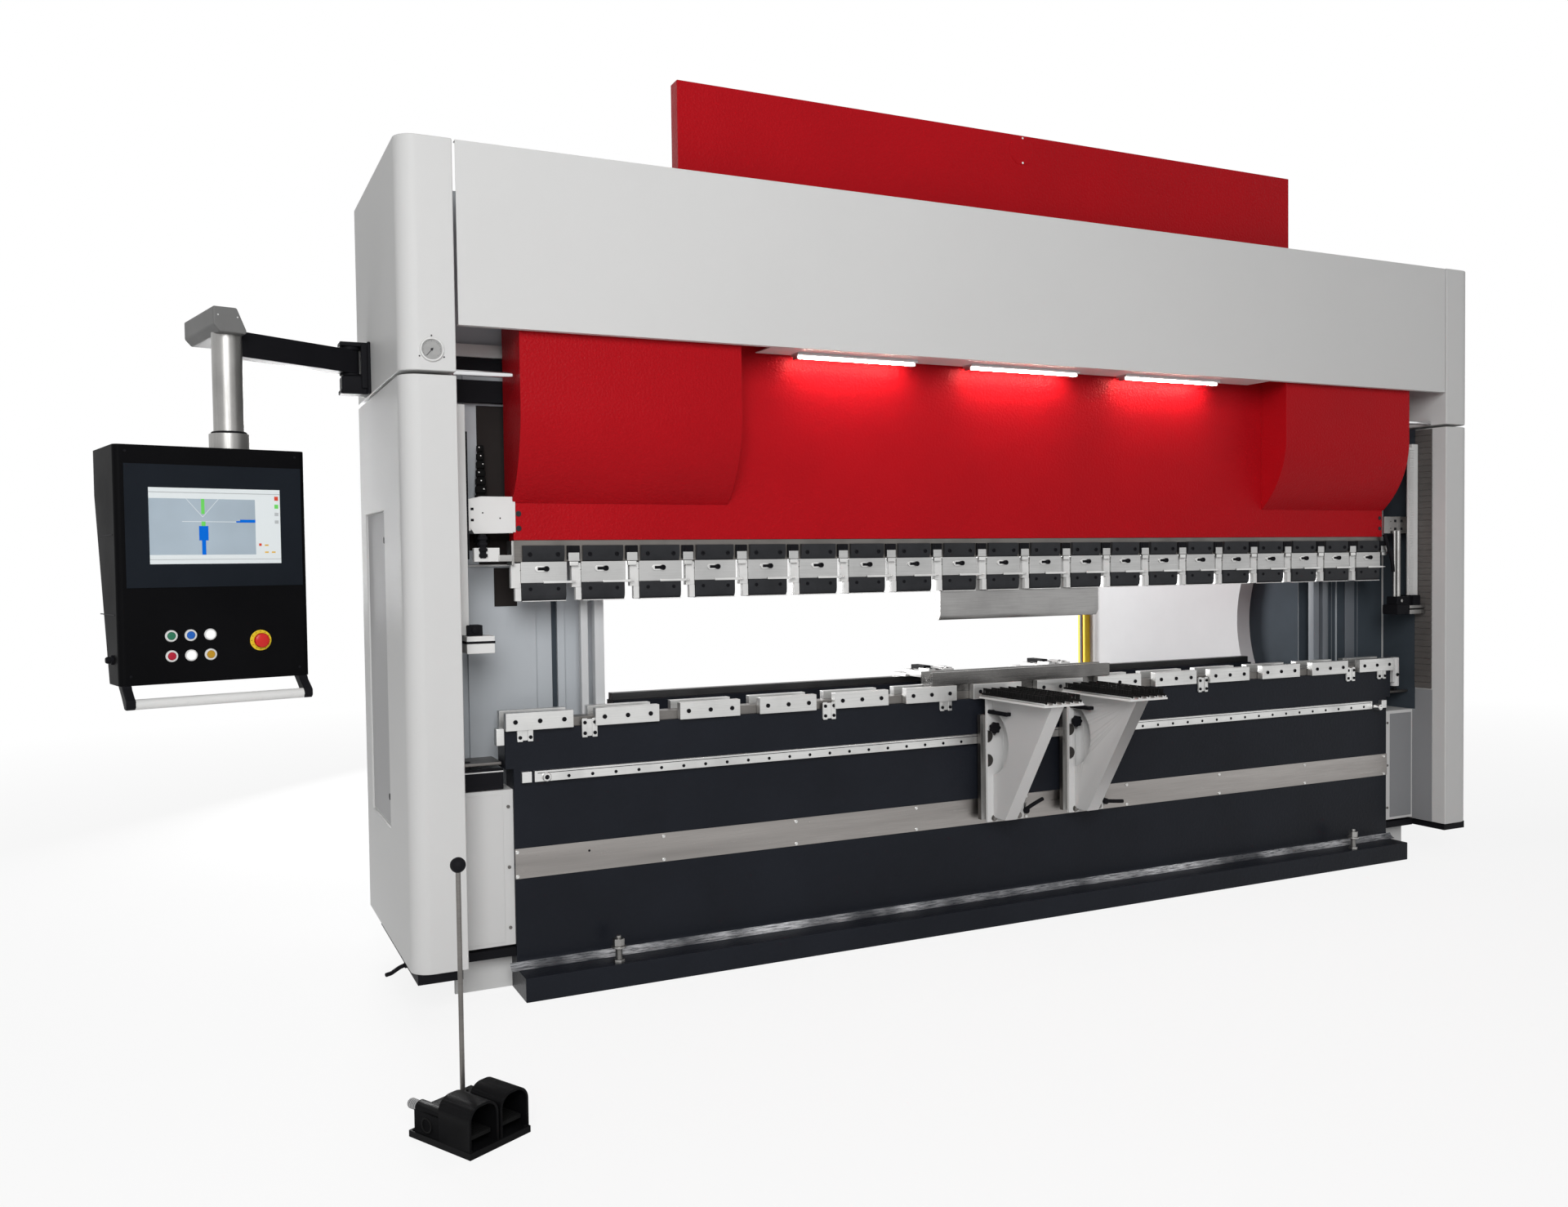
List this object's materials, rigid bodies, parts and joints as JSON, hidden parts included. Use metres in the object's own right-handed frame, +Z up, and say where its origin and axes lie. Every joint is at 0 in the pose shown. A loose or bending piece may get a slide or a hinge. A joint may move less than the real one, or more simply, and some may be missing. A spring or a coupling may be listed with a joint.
{
  "type": "hydraulic press brake",
  "caption": "Hydraulic press brake: ram with punch clamps over a bed with a V die, side columns, backgauge, front sheet supports, swinging control pendant and foot switch.",
  "frame": {"origin": "on the floor under the middle of the bending line, on the underside of the bed's foot", "axes": "+X along the bending line to the operator's right, +Y into the machine, +Z up"},
  "size_m": [5.5552, 2.715, 3.008],
  "materials": {
    "red_paint": "satin red paint",
    "grey_paint": "fine light grey texture paint",
    "bed_paint": "satin blue-black paint",
    "black_paint": "satin black paint",
    "white_paint": "satin white paint",
    "tool_steel": "ground tool steel",
    "bright_steel": "brushed stainless steel",
    "hard_chrome": "hard chrome on the piston rods",
    "guard_yellow": "satin yellow paint",
    "lamp_body": "anodised lamp body",
    "pendant_black": "gloss black",
    "stop_red": "gloss red",
    "pedal_black": "matte black"
  },
  "bodies": {
    "machine": {"bed_beam": "bed_paint", "bed_trim_strip": "bright_steel", "die_rail": "tool_steel", "die_clamps": "bright_steel", "v_die": "tool_steel", "hydraulic_cylinders": "black_paint", "left_side_frame": "grey_paint", "right_side_frame": "grey_paint", "frame_foot_plates": "black_paint", "rear_cross_beam": "grey_paint", "oil_tank": "grey_paint", "left_side_cabinet": "black_paint", "right_side_cabinet": "black_paint", "lower_column_covers": "grey_paint", "upper_column_covers": "grey_paint", "column_plinths": "black_paint", "aprons": "grey_paint", "lower_panels": "grey_paint", "jamb_panels": "grey_paint", "round_vent": "grey_paint", "front_fascia": "grey_paint", "work_lamps": "lamp_body", "backgauge_guides": "bed_paint", "light_barrier_posts": "guard_yellow", "front_rail": "bright_steel", "pendant_bracket": "black_paint", "pedal_housing": "pedal_black", "pedal_carry_rod": "black_paint"},
    "ram": {"ram_plate": "red_paint", "clamp_bar": "tool_steel", "punch_clamp_bodies": "bright_steel", "punch_clamp_plates": "black_paint", "punch": "tool_steel", "cylinder_covers": "red_paint", "piston_rods": "hard_chrome", "laser_guard_carriers": "white_paint", "laser_heads": "black_paint"},
    "backgauge": {"backgauge_beam": "bed_paint", "backgauge_rail": "bright_steel"},
    "left_finger": {"left_stop_finger": "white_paint"},
    "right_finger": {"right_stop_finger": "white_paint"},
    "left_support": {"left_support_arm": "grey_paint", "left_support_table": "pedal_black"},
    "right_support": {"right_support_arm": "grey_paint", "right_support_table": "pedal_black"},
    "pendant_arm": {"pendant_arm": "black_paint"},
    "pendant_head": {"pendant_mast": "bright_steel", "pendant_box": "pendant_black", "pendant_handle": "white_paint"},
    "stop_button": {"emergency_stop": "stop_red"},
    "left_treadle": {"left_treadle": "pedal_black"},
    "right_treadle": {"right_treadle": "pedal_black"}
  },
  "joints": [
    {"name": "ram_stroke", "type": "slide", "parent": "machine", "child": "ram", "axis": [0, 0, 1], "range_m": [-0.188, 0]},
    {"name": "backgauge_depth", "type": "slide", "parent": "machine", "child": "backgauge", "axis": [0, 1, 0], "range_m": [-0.06, 0.6]},
    {"name": "left_finger_slide", "type": "slide", "parent": "backgauge", "child": "left_finger", "axis": [1, 0, 0], "range_m": [-1.15, 0.15]},
    {"name": "right_finger_slide", "type": "slide", "parent": "backgauge", "child": "right_finger", "axis": [1, 0, 0], "range_m": [-0.15, 1]},
    {"name": "left_support_slide", "type": "slide", "parent": "machine", "child": "left_support", "axis": [1, 0, 0], "range_m": [-1.6, 0.09]},
    {"name": "right_support_slide", "type": "slide", "parent": "machine", "child": "right_support", "axis": [1, 0, 0], "range_m": [-0.09, 1.5]},
    {"name": "pendant_arm_swing", "type": "hinge", "parent": "machine", "child": "pendant_arm", "pos_m": [-2.425, 0.45, 2.055], "axis": [0, 0, 1], "range_deg": [-80, 20]},
    {"name": "pendant_swivel", "type": "hinge", "parent": "pendant_arm", "child": "pendant_head", "pos_m": [-2.8162, 0.2003, 1.9], "axis": [0, 0, 1], "range_deg": [-45, 45]},
    {"name": "stop_push", "type": "slide", "parent": "pendant_head", "child": "stop_button", "axis": [-0.2284, 0.9736, 0], "range_m": [0, 0.005], "stiffness_N_per_m": 1500, "springref_m": -0.002},
    {"name": "left_treadle_tilt", "type": "hinge", "parent": "machine", "child": "left_treadle", "pos_m": [-2.40322, -1.03775, 0.041], "axis": [0.8829, 0.4695, 0], "range_deg": [0, 9], "stiffness_Nm_per_rad": 8, "springref_deg": -8.59},
    {"name": "right_treadle_tilt", "type": "hinge", "parent": "machine", "child": "right_treadle", "pos_m": [-2.32023, -0.99362, 0.041], "axis": [0.8829, 0.4695, 0], "range_deg": [0, 9], "stiffness_Nm_per_rad": 8, "springref_deg": -8.59}
  ]
}
